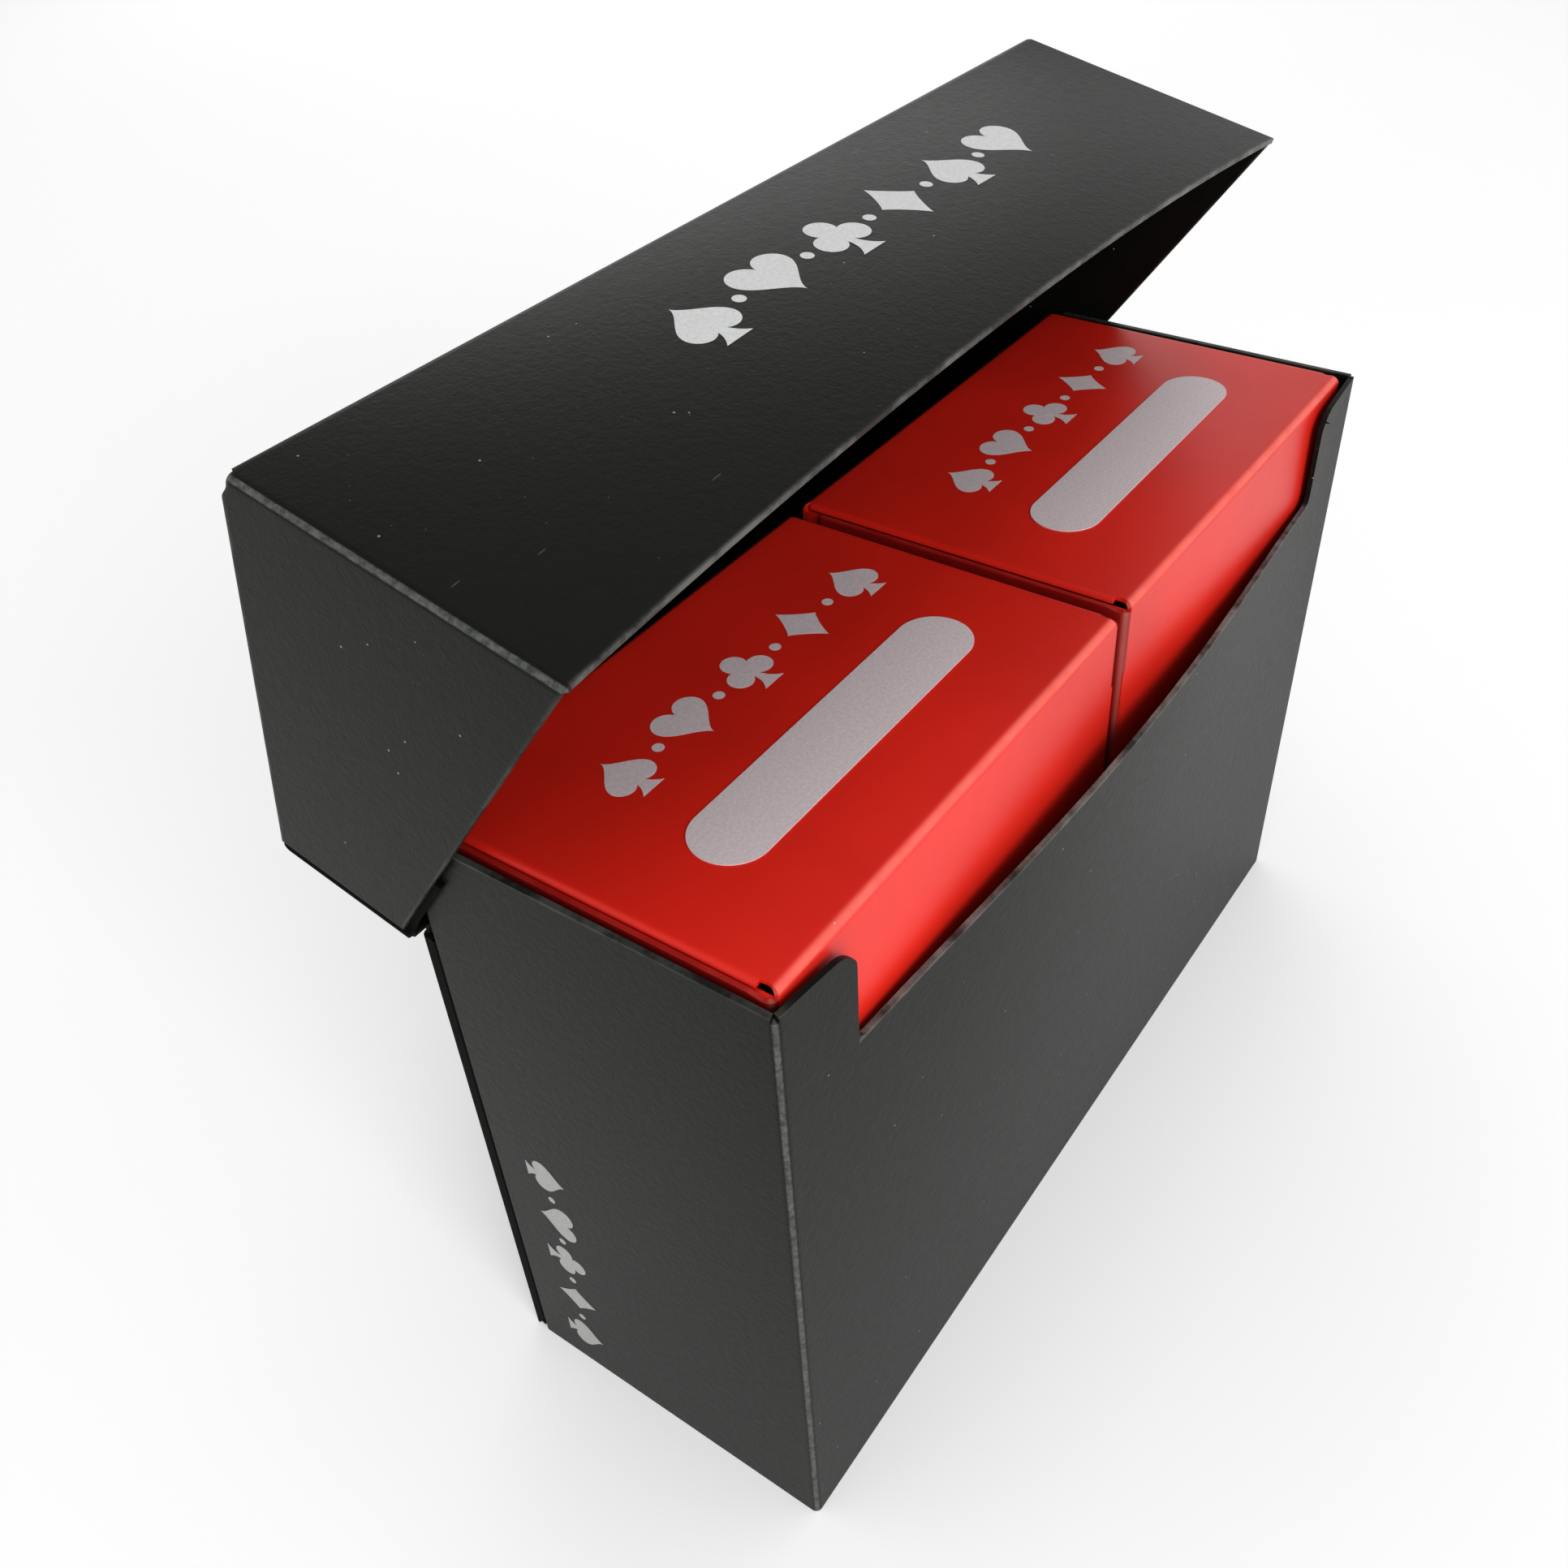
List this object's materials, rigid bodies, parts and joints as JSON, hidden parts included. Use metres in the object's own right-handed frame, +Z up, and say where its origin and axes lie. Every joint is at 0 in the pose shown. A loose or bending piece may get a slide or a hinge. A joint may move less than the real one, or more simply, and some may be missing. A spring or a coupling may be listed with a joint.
{
  "type": "double card deck box",
  "caption": "Folded sheet carrier with a hinged flip-top lid and a front finger recess, holding flip-top card boxes with writing strips.",
  "frame": {"origin": "centre of the underside of the outer box, on the face that it stands on", "axes": "+X to the right along the front, +Y from the front to the hinge side, +Z up"},
  "size_m": [0.1476, 0.0711, 0.1351],
  "materials": {
    "black_sheet": "matte, fine sand-blast grain",
    "black_tabs": "matte, fine grain",
    "red_sheet": "satin",
    "pale_print": "matte, stippled"
  },
  "bodies": {
    "carrier": {"bottom_panel": "black_tabs", "front_panel": "black_sheet", "back_panel": "black_sheet", "left_side_panel": "black_sheet", "right_side_panel": "black_sheet", "left_glue_tab": "black_tabs", "right_glue_tab": "black_tabs", "left_bottom_tab": "black_tabs", "right_bottom_tab": "black_tabs", "hinge_crease": "black_tabs", "left_box_floor": "red_sheet", "left_box_front_wall": "red_sheet", "left_box_back_wall": "red_sheet", "left_box_left_wall": "red_sheet", "left_box_right_wall": "red_sheet", "left_box_top": "red_sheet", "left_box_front_flap": "red_sheet", "left_box_back_strip": "red_sheet", "left_box_left_ear": "red_sheet", "left_box_right_ear": "red_sheet", "left_box_label": "pale_print", "right_box_floor": "red_sheet", "right_box_front_wall": "red_sheet", "right_box_back_wall": "red_sheet", "right_box_left_wall": "red_sheet", "right_box_right_wall": "red_sheet", "right_box_top": "red_sheet", "right_box_front_flap": "red_sheet", "right_box_back_strip": "red_sheet", "right_box_left_ear": "red_sheet", "right_box_right_ear": "red_sheet", "right_box_label": "pale_print"},
    "lid": {"lid_top_panel": "black_sheet", "lid_front_flap": "black_sheet", "lid_back_strip": "black_sheet", "lid_left_ear": "black_sheet", "lid_right_ear": "black_sheet", "lid_left_rear_tab": "black_tabs", "lid_right_rear_tab": "black_tabs", "lid_left_top_tab": "black_tabs", "lid_right_top_tab": "black_tabs"}
  },
  "joints": [
    {"name": "lid_hinge", "type": "hinge", "parent": "carrier", "child": "lid", "pos_m": [0, 0.0246, 0.0794], "axis": [-1, 0, 0], "range_deg": [-77, 98]}
  ]
}
